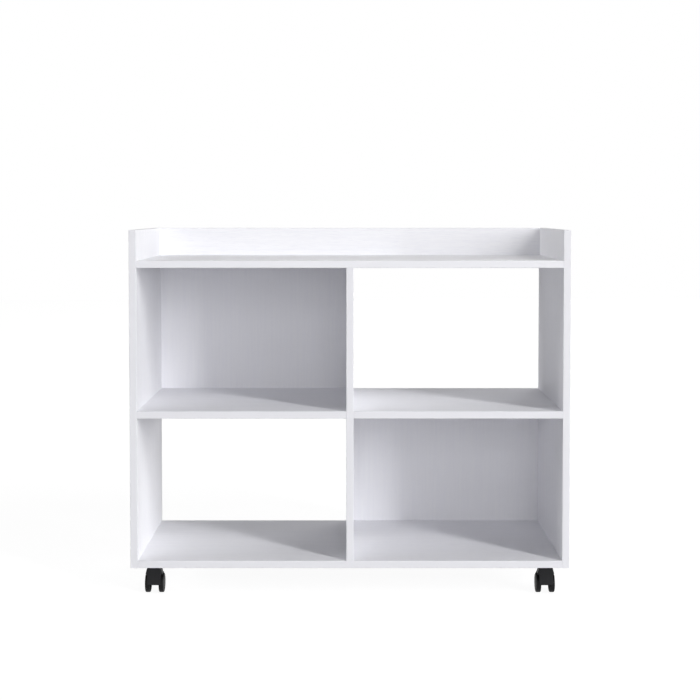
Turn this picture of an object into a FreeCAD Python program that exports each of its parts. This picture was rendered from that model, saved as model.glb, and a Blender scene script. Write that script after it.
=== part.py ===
# A low white bookcase on casters: two by two bays, two of them with a back, and a tray on top.
# Millimetres. +Z is up, the front faces -Y, and the origin is on the floor under the middle.

import FreeCAD
import Part
import Sketcher
import os
import re

Vector = FreeCAD.Vector
doc = FreeCAD.newDocument("mobile_bookcase")

# Driving dimensions: name, value, meaning
SIZES = (
    ("case_width", 900, "outside of one side board to outside of the other"),
    ("case_depth", 400, "front to rear of the side boards"),
    ("board", 15, "thickness of every board"),
    ("bay_height", 293, "clear height of a bay"),
    ("gallery_height", 62, "rise of the sides and the rail above the tray"),
    ("edge_radius", 1, "rounding of the banded edges"),
    ("back_thickness", 3, "thickness of a back sheet"),
    ("back_lap", 7, "overlap of a back sheet on the boards round its bay"),
    ("nail_head_height", 0.8, "height of a nail head"),
    ("nail_head_diameter", 4, "diameter of a nail head"),
    ("nail_diameter", 1.4, "diameter of a nail"),
    ("nail_length", 16, "length of a nail below its head"),
    ("nail_point", 2, "length of a nail's point"),
    ("nails_across", 5, "nails along the top or the bottom of a back sheet"),
    ("nails_between", 2, "further nails up each end of a back sheet"),
    ("fit_play", 0.1, "gap round a fitting in its hole"),
    ("end_play", 0.5, "spare depth at the end of a hole"),
    ("joint_inset", 75, "cam fitting to the front or rear edge"),
    ("dowel_pitch", 32, "dowel to the cam fitting beside it"),
    ("dowel_diameter", 8, "diameter of a dowel"),
    ("dowel_in_end", 20, "depth of a dowel in the end of a board"),
    ("dowel_in_face", 10, "depth of a dowel in the face of a board"),
    ("dowel_chamfer", 1, "chamfer at the ends of a dowel"),
    ("cam_diameter", 15, "diameter of a cam disc"),
    ("cam_height", 12, "height of a cam disc"),
    ("cam_reach", 34, "end of a board to the middle of its cam disc"),
    ("cam_slot_width", 2, "width of the driver cross in a cam disc"),
    ("cam_slot_length", 9, "length of the driver cross in a cam disc"),
    ("cam_slot_depth", 3, "depth of the driver cross in a cam disc"),
    ("bolt_bore", 8, "bore for a cam bolt along a board"),
    ("bolt_diameter", 5, "thread of a cam bolt"),
    ("bolt_thread_length", 11, "length of a cam bolt's thread"),
    ("bolt_collar_length", 2.5, "length of a cam bolt's collar"),
    ("bolt_shank", 6, "diameter of a cam bolt's shank"),
    ("bolt_neck", 4, "diameter of a cam bolt's neck"),
    ("bolt_head", 6.6, "diameter of a cam bolt's head"),
    ("bolt_head_length", 3, "length of a cam bolt's head"),
    ("bolt_point", 1, "chamfer at the tip of a cam bolt"),
    ("rail_screw_pitch", 280, "spacing of the rail screws"),
    ("rail_screw_diameter", 4, "diameter of a rail screw"),
    ("rail_screw_head", 8, "diameter of a rail screw's countersunk head"),
    ("rail_screw_length", 40, "length of a rail screw"),
    ("caster_height", 62, "floor to the underside of the bottom board"),
    ("caster_inset", 36, "stem of a caster to the front or rear edge"),
    ("caster_side_inset", 44, "stem of a caster to the outside of the side board"),
    ("caster_trail", 14, "stem to axle, level"),
    ("caster_width", 40, "across both wheels of a caster"),
    ("wheel_diameter", 40, "diameter of a wheel"),
    ("wheel_gap", 18, "between the two wheels of a caster"),
    ("wheel_dome", 0.9, "rise of a wheel's outer face"),
    ("wheel_rim", 3, "thickness of a wheel's rim"),
    ("wheel_disc", 3, "thickness of a wheel's outer wall"),
    ("wheel_hub", 12, "diameter of a wheel's hub"),
    ("wheel_rounding", 2.2, "rounding at the edges of a wheel's tread"),
    ("wheel_ring", 25, "diameter of the ring pressed into a wheel's outer face"),
    ("wheel_ring_width", 1.6, "width of that ring"),
    ("wheel_ring_depth", 0.6, "depth of that ring"),
    ("rib_thickness", 1.6, "thickness of a rib inside a wheel"),
    ("rib_setback", 1.5, "ribs set back from the open side of a wheel"),
    ("rib_count", 6, "ribs inside a wheel"),
    ("axle_diameter", 6, "diameter of an axle"),
    ("axle_length", 33, "length of an axle"),
    ("axle_chamfer", 0.5, "chamfer at the ends of an axle"),
    ("axle_groove_at", 13.7, "middle of the axle to a snap groove"),
    ("stem_diameter", 8, "diameter of a stem"),
    ("stem_end", 27, "floor to the lower end of a stem"),
    ("stem_chamfer", 1, "chamfer at the lower end of a stem"),
    ("stem_groove_at", 37, "floor to the snap groove of a stem"),
    ("collar_diameter", 14, "diameter of a stem's collar"),
    ("collar_height", 3.2, "height of a stem's collar"),
    ("groove_width", 1.6, "width of a snap groove"),
    ("groove_depth", 0.7, "depth of a snap groove"),
    ("lip_width", 1, "width of the lip in a snap groove"),
    ("lip_depth", 0.4, "reach of the lip in a snap groove"),
    ("running_play", 0.08, "gap round a stem or an axle"),
    ("side_play", 0.3, "gap between pieces that turn past each other"),
    ("hood_web", 13.8, "thickness of the hood between the wheels"),
    ("hood_wall", 2.2, "thickness of the fender"),
    ("hood_gap", 1.2, "fender to the wheels"),
    ("hood_boss", 12, "diameter of the hood round the axle"),
    ("hood_tail_angle", 40, "end of the fender behind, up from level, in degrees"),
    ("hood_brow_angle", 60, "end of the fender in front, up from level, in degrees"),
    ("fender_width", 34, "width of the fender over the wheels"),
    ("fender_rounding", 1.5, "rounding of the fender's long edges"),
    ("tongue_width", 27, "width of the tongue in front of the wheels"),
    ("tongue_rounding", 1, "rounding of the tongue's long edges"),
    ("shoulder_width", 34.4, "width of the hood's shoulder at its brow"),
    ("shoulder_length", 25, "length of the hood's shoulder at its foot"),
    ("shoulder_sink", 2.9, "foot of the shoulder, below the top of the fender"),
    ("shoulder_brow", 3.3, "rise of the shoulder's lower edge, out from the tongue"),
    ("shoulder_top_width", 27.6, "width of the hood's shoulder at its top"),
    ("shoulder_slope", 7, "length that the slope behind the shoulder takes off its top"),
    ("shoulder_step", 1.5, "lower end of that slope, above the top of the fender"),
    ("shoulder_corner", 3, "rounding of the shoulder's corners"),
    ("shoulder_rounding", 2, "rounding round the shoulder's top"),
    ("plate_side", 42, "side of the square caster plate"),
    ("plate_thickness", 2, "thickness of the caster plate"),
    ("plate_corner", 5, "corner radius of the caster plate"),
    ("plate_hole_pitch", 32, "spacing of the screw holes in the caster plate"),
    ("plate_screw_diameter", 3.5, "diameter of a caster screw"),
    ("plate_screw_head", 7, "diameter of a caster screw's head"),
    ("plate_screw_head_height", 2.2, "height of a caster screw's head"),
    ("plate_screw_length", 14, "length of a caster screw below its head"),
    ("screw_point", 3, "length of a screw's point"),
)

sheet = doc.addObject("Spreadsheet::Sheet", "Sizes")
for row, (alias, value, meaning) in enumerate(SIZES, start=1):
    sheet.set(f"A{row}", meaning)
    sheet.set(f"B{row}", str(value))
    sheet.setAlias(f"B{row}", alias)
doc.recompute()

# Two lengths closer than this are the same
NEAR = 0.01
ACROSS = Vector(1, 0, 0)
ALONG = Vector(0, 1, 0)
UP = Vector(0, 0, 1)

ALIASES = re.compile(r"\b(" + "|".join(alias for alias, value, meaning in SIZES) + r")\b")

# Boards that meet each side, one above the other
LEVELS = 3

# Places and lengths worked out from the driving dimensions
FRONT = "(-(case_depth + back_thickness + nail_head_height) / 2)"
MIDDLE = f"({FRONT} + case_depth / 2)"
REAR = f"({FRONT} + case_depth)"
INNER_WIDTH = "(case_width - 2 * board)"
BAY_WIDTH = "((case_width - 3 * board) / 2)"
PITCH = "(bay_height + board)"
DIVIDER_HEIGHT = "(2 * bay_height + board)"
SIDE_HEIGHT = "(2 * bay_height + 3 * board + gallery_height)"
RAIL_HEIGHT = "(gallery_height + board)"
SHELF_LEVEL = f"(caster_height + {PITCH})"
TOP_LEVEL = f"(caster_height + 2 * {PITCH})"
CAM_PLACE = "(case_depth / 2 - joint_inset)"
DOWEL_PLACE = f"({CAM_PLACE} - dowel_pitch)"
CASTER_ACROSS = "(case_width / 2 - caster_side_inset)"
CASTER_ALONG = "(case_depth / 2 - caster_inset)"
COLLAR_DIAMETER = "(bolt_bore - 2 * fit_play)"
WHEEL_RADIUS = "(wheel_diameter / 2)"
WELL_RADIUS = f"({WHEEL_RADIUS} + hood_gap)"
FENDER_RADIUS = f"({WELL_RADIUS} + hood_wall)"
FENDER_TOP = f"({WHEEL_RADIUS} + {FENDER_RADIUS})"
HOOD_FRONT = f"(caster_trail - {FENDER_RADIUS})"
HOOD_TOP = "(caster_height - plate_thickness - collar_height - side_play)"


def spelled(formula):
    """Write a formula of size names the way a property reads it."""
    return ALIASES.sub(r"Sizes.\1", formula)


def number(formula):
    """Work out a formula of size names."""
    return float(sheet.evalExpression(spelled(formula)))


def bind(target, name, formula):
    """Tie a property to a formula of size names."""
    target.setExpression(name, spelled(formula))


def origin_plane(body, role):
    """Find one of a body's own origin planes or axes."""
    return next(feature for feature in body.Origin.OriginFeatures if feature.Role == role)


def new_body(label, place=("0", "0", "0"), rotation=FreeCAD.Rotation()):
    """Start a body at a place given by three formulas."""
    body = doc.addObject("PartDesign::Body", label)
    body.Label = label
    body.Placement.Rotation = rotation
    for axis, formula in zip("xyz", place):
        bind(body, f"Placement.Base.{axis}", formula)
    return body


def new_sketch(body, role, name, lift="0"):
    """Start a sketch on an origin plane, lifted along the plane's normal."""
    sketch = body.newObject("Sketcher::SketchObject", name)
    sketch.AttachmentSupport = [(origin_plane(body, role), "")]
    sketch.MapMode = "FlatFace"
    bind(sketch, "AttachmentOffset.Base.z", lift)
    return sketch


def hold(sketch, kind, item, point, formula):
    """Add one driven distance from the sketch's origin to a point."""
    index = sketch.addConstraint(Sketcher.Constraint(kind, item, point, number(formula)))
    bind(sketch, f"Constraints[{index}]", formula)


def hold_point(sketch, item, point, place):
    """Fix a point of a sketch at a pair of formulas."""
    hold(sketch, "DistanceX", item, point, place[0])
    hold(sketch, "DistanceY", item, point, place[1])


def arc_between(start, end, centre, counter_clockwise):
    """Make the arc from start to end about a centre."""
    radius = (start - centre).Length
    first, last = (start, end) if counter_clockwise else (end, start)
    circle = Part.Circle(centre, UP, radius)
    return Part.ArcOfCircle(circle, circle.parameter(first), circle.parameter(last))


def outline(sketch, corners, arcs=None):
    """Close an outline through corners, each a pair of formulas.

    arcs names the stretches that are round: the number of the corner where one starts, its centre
    as a pair of formulas, and whether it runs counter-clockwise. The other stretches are straight.
    """
    arcs = arcs or {}
    points = [Vector(number(across), number(up), 0) for across, up in corners]
    ends = []
    for index, start in enumerate(points):
        end = points[(index + 1) % len(points)]
        if index in arcs:
            centre, counter_clockwise = arcs[index]
            middle = Vector(number(centre[0]), number(centre[1]), 0)
            item = sketch.addGeometry(arc_between(start, end, middle, counter_clockwise))
            hold(sketch, "DistanceY", item, 3, centre[1])
            ends.append((item, 1, 2) if counter_clockwise else (item, 2, 1))
        else:
            ends.append((sketch.addGeometry(Part.LineSegment(start, end)), 1, 2))
    for index, (item, head, tail) in enumerate(ends):
        previous, previous_head, previous_tail = ends[index - 1]
        sketch.addConstraint(Sketcher.Constraint("Coincident", previous, previous_tail, item, head))
        hold_point(sketch, item, head, corners[index])


def rectangle(sketch, left, right, low, high):
    """Draw an upright rectangle between four formulas."""
    outline(sketch, [(left, low), (right, low), (right, high), (left, high)])


def circles(sketch, diameter, centres):
    """Draw equal circles at places given as pairs of formulas."""
    radius = number(diameter) / 2
    for centre in centres:
        middle = Vector(number(centre[0]), number(centre[1]), 0)
        item = sketch.addGeometry(Part.Circle(middle, UP, radius))
        hold_point(sketch, item, 3, centre)
        index = sketch.addConstraint(Sketcher.Constraint("Diameter", item, 2 * radius))
        bind(sketch, f"Constraints[{index}]", diameter)


def pad(body, sketch, length, along_normal=True, symmetric=False):
    """Pad a sketch."""
    feature = body.newObject("PartDesign::Pad", f"{sketch.Name}_pad")
    feature.Profile = sketch
    feature.Reversed = not along_normal
    feature.SideType = "Symmetric" if symmetric else "One side"
    bind(feature, "Length", length)
    doc.recompute()
    return feature


def check_cut(body, before, name):
    """Refuse a cut that took nothing away."""
    doc.recompute()
    if not body.Shape.Volume < before:
        raise ValueError(f"{body.Label}: {name} cuts nothing")


def pocket(body, sketch, depth=None, along_normal=False, symmetric=False):
    """Cut a sketch to a depth, or right through where no depth is given."""
    before = body.Shape.Volume
    feature = body.newObject("PartDesign::Pocket", f"{sketch.Name}_pocket")
    feature.Profile = sketch
    feature.Reversed = along_normal
    feature.SideType = "Symmetric" if symmetric else "One side"
    if depth:
        bind(feature, "Length", depth)
    else:
        feature.Type = "ThroughAll"
    check_cut(body, before, sketch.Name)
    return feature


def revolved_cut(body, sketch, axis):
    """Cut a sketch all the way round one of its own axes."""
    before = body.Shape.Volume
    feature = body.newObject("PartDesign::Groove", f"{sketch.Name}_groove")
    feature.Profile = sketch
    feature.ReferenceAxis = (sketch, [axis])
    feature.Angle = 360
    check_cut(body, before, sketch.Name)


def mirrored(body, features, role):
    """Repeat features on the other side of an origin plane."""
    mirror = body.newObject("PartDesign::Mirrored", f"{features[-1].Name}_mirror")
    mirror.Originals = features
    mirror.MirrorPlane = (origin_plane(body, role), [""])
    body.Tip = mirror
    doc.recompute()
    return mirror


def edge_names(feature, chosen):
    """Name the edges of a feature that are chosen."""
    return [f"Edge{index}" for index, edge in enumerate(feature.Shape.Edges, start=1) if chosen(edge)]


def round_radius(edge):
    """Give the radius of a round edge, or nothing for any other."""
    if edge.Degenerated or not isinstance(edge.Curve, Part.Circle):
        return 0
    return edge.Curve.Radius


def rounded(body, base, radius, chosen):
    """Round the chosen edges of a feature."""
    feature = body.newObject("PartDesign::Fillet", f"{base.Name}_fillet")
    feature.Base = (base, edge_names(base, chosen))
    bind(feature, "Radius", radius)
    doc.recompute()
    return feature


def runs_along(edge, axis):
    """Tell whether an edge starts out along an axis."""
    return abs(edge.tangentAt(edge.FirstParameter).dot(axis)) > 1 - NEAR


def turned(label, corners, place=("0", "0", "0"), rotation=FreeCAD.Rotation(), arcs=None):
    """Revolve an outline round the body's own X axis: corners are (along, radius)."""
    body = new_body(label, place, rotation)
    sketch = new_sketch(body, "XY_Plane", f"{label}_profile")
    outline(sketch, corners, arcs)
    feature = body.newObject("PartDesign::Revolution", f"{label}_turning")
    feature.Profile = sketch
    feature.ReferenceAxis = (sketch, ["H_Axis"])
    feature.Angle = 360
    doc.recompute()
    return body


def both(place):
    """Give a place and its opposite."""
    return place, f"-{place}"


# Boards with cam fittings in their ends

def fitting_holes(body, role, lift, along_normal, across="0", up=None, name="neighbour"):
    """Drill a face for the bolts and dowels of a board that meets it."""
    def places(along):
        return [(along_place, up) if up else (across, along_place) for along_place in both(along)]

    bolts = new_sketch(body, role, f"{body.Label}_{name}_bolts", lift)
    circles(bolts, "bolt_diameter + 2 * fit_play", places(CAM_PLACE))
    bolt_holes = pocket(body, bolts, "bolt_thread_length + end_play", along_normal)
    dowels = new_sketch(body, role, f"{body.Label}_{name}_dowels", lift)
    circles(dowels, "dowel_diameter + 2 * fit_play", places(DOWEL_PLACE))
    dowel_holes = pocket(body, dowels, "dowel_in_face + end_play", along_normal)
    return [bolt_holes, dowel_holes]


def cam_board(label, length, place, rear="case_depth / 2", rotation=FreeCAD.Rotation()):
    """Make a board whose ends are bored for cam bolts and dowels, with the cams let in from below."""
    body = new_body(label, place, rotation)
    blank = new_sketch(body, "XY_Plane", f"{label}_blank")
    rectangle(blank, f"-{length} / 2", f"{length} / 2", "-case_depth / 2", rear)
    slab = pad(body, blank, "board")
    rounded(body, slab, "edge_radius", lambda edge: runs_along(edge, ACROSS))

    cams = new_sketch(body, "XY_Plane", f"{label}_cams")
    cam_across = f"({length} / 2 - cam_reach)"
    circles(cams, "cam_diameter + 2 * fit_play", [(x, y) for x in both(cam_across) for y in both(CAM_PLACE)])
    pocket(body, cams, "cam_height + end_play", along_normal=True)

    bolts = new_sketch(body, "YZ_Plane", f"{label}_bolt_bores", f"{length} / 2")
    circles(bolts, "bolt_bore", [(y, "board / 2") for y in both(CAM_PLACE)])
    bolt_bores = pocket(body, bolts, "cam_reach")
    dowels = new_sketch(body, "YZ_Plane", f"{label}_dowel_bores", f"{length} / 2")
    circles(dowels, "dowel_diameter + 2 * fit_play", [(y, "board / 2") for y in both(DOWEL_PLACE)])
    dowel_bores = pocket(body, dowels, "dowel_in_end + end_play")
    mirrored(body, [bolt_bores, dowel_bores], "YZ_Plane")
    return body


def make_bottom_board():
    """The bottom board carries the divider above and the caster plates below."""
    body = cam_board("bottom_board", INNER_WIDTH, ("0", MIDDLE, "caster_height"))
    fitting_holes(body, "XY_Plane", "board", along_normal=False)
    screws = new_sketch(body, "XY_Plane", "bottom_board_caster_screws")
    holes = [
        (f"{x} {step_x} plate_hole_pitch / 2", f"{y} {step_y} plate_hole_pitch / 2")
        for x in both(CASTER_ACROSS) for y in both(CASTER_ALONG) for step_x in "+-" for step_y in "+-"
    ]
    circles(screws, "plate_screw_diameter + 2 * fit_play", holes)
    pocket(body, screws, "plate_screw_length - plate_thickness + end_play", along_normal=True)
    return body


def make_top_board():
    """The top board is the tray's floor: it stops short of the rear, where the rail closes it."""
    rear = "(case_depth / 2 - board)"
    body = cam_board("top_board", INNER_WIDTH, ("0", MIDDLE, TOP_LEVEL), rear)
    fitting_holes(body, "XY_Plane", "0", along_normal=True)
    screws = new_sketch(body, "XZ_Plane", "top_board_rail_screws", f"-{rear}")
    circles(screws, "rail_screw_diameter + 2 * fit_play", rail_screw_places("board / 2"))
    pocket(body, screws, "rail_screw_length - board + end_play", along_normal=True)
    return body


def make_divider():
    """The divider stands on end between the bottom and top boards, and the shelves meet in it."""
    upright = FreeCAD.Rotation(ALONG, 90)
    middle_level = f"(caster_height + board + {DIVIDER_HEIGHT} / 2)"
    body = cam_board("centre_divider", DIVIDER_HEIGHT, ("-board / 2", MIDDLE, middle_level), rotation=upright)
    bolts = new_sketch(body, "XY_Plane", "centre_divider_shelf_bolts")
    circles(bolts, "bolt_bore", [("0", y) for y in both(CAM_PLACE)])
    pocket(body, bolts, along_normal=True)
    dowels = new_sketch(body, "XY_Plane", "centre_divider_shelf_dowels")
    circles(dowels, "dowel_diameter + 2 * fit_play", [("0", y) for y in both(DOWEL_PLACE)])
    pocket(body, dowels, along_normal=True)
    return body


def make_shelf(label, sign):
    """A shelf runs from a side board to the divider."""
    across = f"{sign}(board + {BAY_WIDTH}) / 2"
    return cam_board(label, BAY_WIDTH, (across, MIDDLE, SHELF_LEVEL))


def make_side(label, sign, outward):
    """A side board, drawn on its inner face: three boards and the rail meet it there."""
    body = new_body(label, (f"{sign}{INNER_WIDTH} / 2", MIDDLE, "caster_height"))
    blank = new_sketch(body, "YZ_Plane", f"{label}_blank")
    rectangle(blank, "-case_depth / 2", "case_depth / 2", "0", SIDE_HEIGHT)
    slab = pad(body, blank, "board", along_normal=outward)
    foot = slab.Shape.BoundBox.ZMin
    rounded(body, slab, "edge_radius", lambda edge: edge.CenterOfMass.z > foot + number("board"))

    rail_dowel = new_sketch(body, "YZ_Plane", f"{label}_rail_dowel")
    rail_place = ("case_depth / 2 - board / 2", f"{SIDE_HEIGHT} - {RAIL_HEIGHT} / 2")
    circles(rail_dowel, "dowel_diameter + 2 * fit_play", [rail_place])
    pocket(body, rail_dowel, "dowel_in_face + end_play", along_normal=outward)

    holes = fitting_holes(body, "YZ_Plane", "0", along_normal=outward, up="board / 2")
    levels = body.newObject("PartDesign::LinearPattern", f"{label}_levels")
    levels.Originals = holes
    levels.Direction = (origin_plane(body, "Z_Axis"), [""])
    levels.Occurrences = LEVELS
    bind(levels, "Length", f"{LEVELS - 1} * {PITCH}")
    body.Tip = levels
    doc.recompute()
    return body


def rail_screw_places(up):
    """Give the rail screws' places along the rail."""
    return [(across, up) for across in ("-rail_screw_pitch", "0", "rail_screw_pitch")]


def make_rail():
    """The rail behind the top board is the tray's rear wall."""
    body = new_body("gallery_rail", ("0", REAR, TOP_LEVEL))
    blank = new_sketch(body, "XZ_Plane", "gallery_rail_blank")
    rectangle(blank, f"-{INNER_WIDTH} / 2", f"{INNER_WIDTH} / 2", "0", RAIL_HEIGHT)
    slab = pad(body, blank, "board")
    rounded(body, slab, "edge_radius", lambda edge: runs_along(edge, ACROSS))

    dowel = new_sketch(body, "YZ_Plane", "gallery_rail_dowel", f"{INNER_WIDTH} / 2")
    circles(dowel, "dowel_diameter + 2 * fit_play", [("-board / 2", f"{RAIL_HEIGHT} / 2")])
    mirrored(body, [pocket(body, dowel, "dowel_in_end + end_play")], "YZ_Plane")

    screws = new_sketch(body, "XZ_Plane", "gallery_rail_screws")
    circles(screws, "rail_screw_diameter + 2 * fit_play", rail_screw_places("board / 2"))
    holes = pocket(body, screws, along_normal=True)
    radius = number("rail_screw_diameter / 2 + fit_play")

    def rear_rim(edge):
        return abs(round_radius(edge) - radius) < NEAR and abs(edge.CenterOfMass.y) < NEAR

    countersinks = body.newObject("PartDesign::Chamfer", "gallery_rail_countersinks")
    countersinks.Base = (holes, edge_names(holes, rear_rim))
    bind(countersinks, "Size", "(rail_screw_head - rail_screw_diameter) / 2 + fit_play")
    doc.recompute()
    return body


def make_back_sheet(label, sign, bay_floor):
    """A back sheet covers one bay and laps onto the rear edges of the boards round it."""
    across = f"{sign}(board + {BAY_WIDTH}) / 2"
    body = new_body(label, (across, REAR, f"{bay_floor} + bay_height / 2"))
    blank = new_sketch(body, "XZ_Plane", f"{label}_blank")
    half_width = f"({BAY_WIDTH} / 2 + back_lap)"
    half_height = "(bay_height / 2 + back_lap)"
    rectangle(blank, f"-{half_width}", half_width, f"-{half_height}", half_height)
    pad(body, blank, "back_thickness", along_normal=False)
    return body


# Casters, each drawn round its stem axis from the floor up, facing the front

def make_plate(label, place):
    """The steel plate under the bottom board."""
    body = new_body(label, place)
    blank = new_sketch(body, "XY_Plane", f"{label}_blank", "caster_height - plate_thickness")
    rectangle(blank, "-plate_side / 2", "plate_side / 2", "-plate_side / 2", "plate_side / 2")
    slab = pad(body, blank, "plate_thickness")
    rounded(body, slab, "plate_corner", lambda edge: runs_along(edge, UP))
    screws = new_sketch(body, "XY_Plane", f"{label}_screw_holes", "caster_height")
    half_pitch = "(plate_hole_pitch / 2)"
    holes = [(x, y) for x in both(half_pitch) for y in both(half_pitch)]
    circles(screws, "plate_screw_diameter + 2 * fit_play", holes)
    pocket(body, screws)
    middle = new_sketch(body, "XY_Plane", f"{label}_stem_hole", "caster_height")
    circles(middle, "stem_diameter + 2 * running_play", [("0", "0")])
    pocket(body, middle)
    return body


def make_stem(label, place):
    """The stem: its top is riveted into the plate, and the hood snaps onto its groove."""
    half = "(stem_diameter / 2)"
    plate_face = "(caster_height - plate_thickness)"
    collar_foot = f"({plate_face} - collar_height)"
    upright = FreeCAD.Rotation(ALONG, -90)
    corners = [
        ("caster_height", "0"),
        ("caster_height", half),
        (plate_face, half),
        (plate_face, "collar_diameter / 2"),
        (collar_foot, "collar_diameter / 2"),
        (collar_foot, half),
        ("stem_groove_at + groove_width / 2", half),
        ("stem_groove_at + groove_width / 2", f"{half} - groove_depth"),
        ("stem_groove_at - groove_width / 2", f"{half} - groove_depth"),
        ("stem_groove_at - groove_width / 2", half),
        ("stem_end + stem_chamfer", half),
        ("stem_end", f"{half} - stem_chamfer"),
        ("stem_end", "0"),
    ]
    return turned(label, corners, place, upright)


def round_axle(radius, angle, side):
    """Give the point at a radius round the axle and an angle up from level, in front or behind."""
    return f"caster_trail {side} {radius} * cos({angle})", f"{WHEEL_RADIUS} + {radius} * sin({angle})"


def hood_tongue(body, axle):
    """The hood from the side: a tongue in front of the wheels, and the web that carries stem and axle."""
    boss = "(hood_boss / 2)"
    side = new_sketch(body, "YZ_Plane", f"{body.Label}_tongue")
    corners = [
        (HOOD_FRONT, WHEEL_RADIUS),
        (HOOD_FRONT, FENDER_TOP),
        ("caster_trail", FENDER_TOP),
        round_axle(FENDER_RADIUS, "hood_tail_angle", "+"),
        round_axle(WELL_RADIUS, "hood_tail_angle", "+"),
        (f"caster_trail + {boss}", f"{WHEEL_RADIUS} + sqrt({WELL_RADIUS} ^ 2 - {boss} ^ 2)"),
        (f"caster_trail + {boss}", WHEEL_RADIUS),
        (f"caster_trail - {boss}", WHEEL_RADIUS),
    ]
    outline(side, corners, {2: (axle, False), 4: (axle, True), 6: (axle, False)})
    tongue = pad(body, side, "tongue_width", symmetric=True)
    front_face = number(HOOD_FRONT)
    rounded(
        body, tongue, "tongue_rounding",
        lambda edge: runs_along(edge, UP) and abs(edge.CenterOfMass.y - front_face) < NEAR,
    )


def hood_fender(body, axle):
    """The fender over both wheels: a shell round the axle, from the brow to the tail."""
    side = new_sketch(body, "YZ_Plane", f"{body.Label}_fender")
    corners = [
        round_axle(FENDER_RADIUS, "hood_brow_angle", "-"),
        round_axle(FENDER_RADIUS, "hood_tail_angle", "+"),
        round_axle(WELL_RADIUS, "hood_tail_angle", "+"),
        round_axle(WELL_RADIUS, "hood_brow_angle", "-"),
    ]
    outline(side, corners, {0: (axle, False), 2: (axle, True)})
    fender = pad(body, side, "fender_width", symmetric=True)
    half_width = number("fender_width / 2")
    radius = number(FENDER_RADIUS)

    def long_edge(edge):
        return abs(round_radius(edge) - radius) < NEAR and abs(abs(edge.CenterOfMass.x) - half_width) < NEAR

    rounded(body, fender, "fender_rounding", long_edge)


def hood_shoulder(body):
    """The hood's shoulder: the block round the stem, flared over the wheels and narrower at its top."""
    foot = f"({FENDER_TOP} - shoulder_sink)"
    brow = f"({foot} + shoulder_brow)"
    front = new_sketch(body, "XZ_Plane", f"{body.Label}_shoulder", f"-{HOOD_FRONT}")
    right = [
        ("tongue_width / 2", foot),
        ("shoulder_width / 2", brow),
        ("shoulder_top_width / 2", HOOD_TOP),
    ]
    outline(front, right + [(f"-{across}", up) for across, up in reversed(right)])
    block = pad(body, front, "shoulder_length", along_normal=False)
    low = number(brow)
    top = number(HOOD_TOP)

    def corner(edge):
        heights = [vertex.Z for vertex in edge.Vertexes]
        return abs(min(heights) - low) < NEAR and abs(max(heights) - top) < NEAR

    corners = rounded(body, block, "shoulder_corner", corner)
    rounded(
        body, corners, "shoulder_rounding",
        lambda edge: min(vertex.Z for vertex in edge.Vertexes) > top - NEAR,
    )
    rear = f"({HOOD_FRONT} + shoulder_length)"
    slope = new_sketch(body, "YZ_Plane", f"{body.Label}_slope")
    outline(slope, [
        (rear, f"{FENDER_TOP} + shoulder_step"),
        (rear, HOOD_TOP),
        (f"{rear} - shoulder_slope", HOOD_TOP),
    ])
    pocket(body, slope, "shoulder_width", symmetric=True)


def hood_socket(body):
    """The stem's socket: a blind bore with a lip that snaps into the stem's groove."""
    bore = new_sketch(body, "YZ_Plane", f"{body.Label}_stem_bore")
    wall = "(stem_diameter / 2 + running_play)"
    lip = "(stem_diameter / 2 - lip_depth)"
    above = f"({HOOD_TOP} + end_play)"
    outline(bore, [
        ("0", above),
        (wall, above),
        (wall, "stem_groove_at + lip_width / 2"),
        (lip, "stem_groove_at + lip_width / 2"),
        (lip, "stem_groove_at - lip_width / 2"),
        (wall, "stem_groove_at - lip_width / 2"),
        (wall, "stem_end - end_play"),
        ("0", "stem_end - end_play"),
    ])
    revolved_cut(body, bore, "V_Axis")


def make_hood(label, place):
    """The moulded hood: a fender over the wheels, a tongue in front of them, a web between them and a
    shoulder round the stem.
    """
    body = new_body(label, place)
    axle = ("caster_trail", WHEEL_RADIUS)
    hood_tongue(body, axle)
    hood_fender(body, axle)
    hood_shoulder(body)

    well = new_sketch(body, "YZ_Plane", f"{label}_wheel_well", "hood_web / 2")
    circles(well, f"2 * {WELL_RADIUS}", [axle])
    mirrored(body, [pocket(body, well, along_normal=True)], "YZ_Plane")

    hood_socket(body)
    axle_hole = new_sketch(body, "YZ_Plane", f"{label}_axle_hole")
    circles(axle_hole, "axle_diameter + 2 * running_play", [axle])
    pocket(body, axle_hole, "hood_web + end_play", symmetric=True)
    return body


def make_axle(label, place):
    """The axle, with a snap groove for each wheel."""
    half = "(axle_diameter / 2)"
    bottom = f"({half} - groove_depth)"
    end = "(axle_length / 2)"
    groove_near = "(axle_groove_at - groove_width / 2)"
    groove_far = "(axle_groove_at + groove_width / 2)"
    right = [
        (groove_near, half),
        (groove_near, bottom),
        (groove_far, bottom),
        (groove_far, half),
        (f"{end} - axle_chamfer", half),
        (end, f"{half} - axle_chamfer"),
        (end, "0"),
    ]
    left = [(f"-({along})", radius) for along, radius in reversed(right)]
    return turned(label, left + right, place)


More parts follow.
